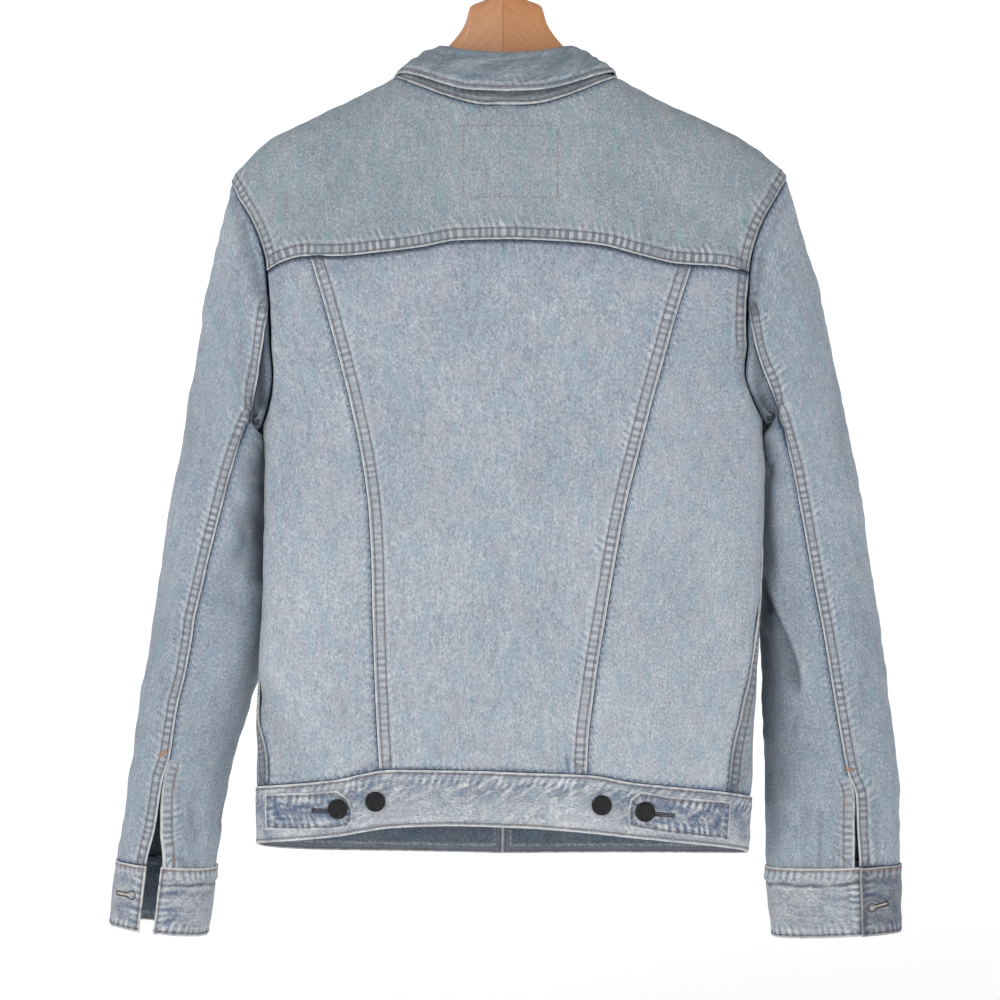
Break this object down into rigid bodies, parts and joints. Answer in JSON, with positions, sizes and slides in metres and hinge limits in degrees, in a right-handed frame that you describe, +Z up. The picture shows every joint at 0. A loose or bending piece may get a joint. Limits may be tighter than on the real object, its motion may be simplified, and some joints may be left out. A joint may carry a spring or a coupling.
{
  "type": "denim jacket on a wooden hanger",
  "caption": "Washed denim trucker jacket with yoke, V-seamed back, waist tabs and open cuffs, hanging from a contoured wooden hanger's wire hook.",
  "frame": {"origin": "inner top of the hanger's hook, where it hangs on a rod", "axes": "+Z up, the jacket's back faces -Y, +X is the wearer's right"},
  "size_m": [0.6807, 0.1439, 0.8701],
  "materials": {
    "panel_denim": "matte",
    "yoke_denim": "matte",
    "sleeve_denim": "matte",
    "band_denim": "matte",
    "collar_denim": "matte",
    "button_metal": "satin",
    "wood": "satin",
    "steel": "gloss"
  },
  "bodies": {
    "root": {"back_yoke": "yoke_denim", "back_centre": "panel_denim", "back_side_left": "panel_denim", "back_side_right": "panel_denim", "front_left": "panel_denim", "front_right": "panel_denim", "sleeve_outer_left": "sleeve_denim", "sleeve_outer_right": "sleeve_denim", "sleeve_under_left": "sleeve_denim", "sleeve_under_right": "sleeve_denim", "cuff_left": "band_denim", "cuff_right": "band_denim", "waistband": "band_denim", "tab_left": "band_denim", "tab_right": "band_denim", "placket": "band_denim", "collar_stand": "collar_denim", "collar_fall": "collar_denim", "button_waist_left_tab": "button_metal", "button_waist_left": "button_metal", "button_waist_right_tab": "button_metal", "button_waist_right": "button_metal", "button_front_1": "button_metal", "button_front_2": "button_metal", "button_front_3": "button_metal", "button_front_4": "button_metal", "button_front_5": "button_metal", "button_front_waist": "button_metal", "button_cuff_left": "button_metal", "button_cuff_right": "button_metal", "hanger": "wood", "hook": "steel"}
  },
  "joints": []
}
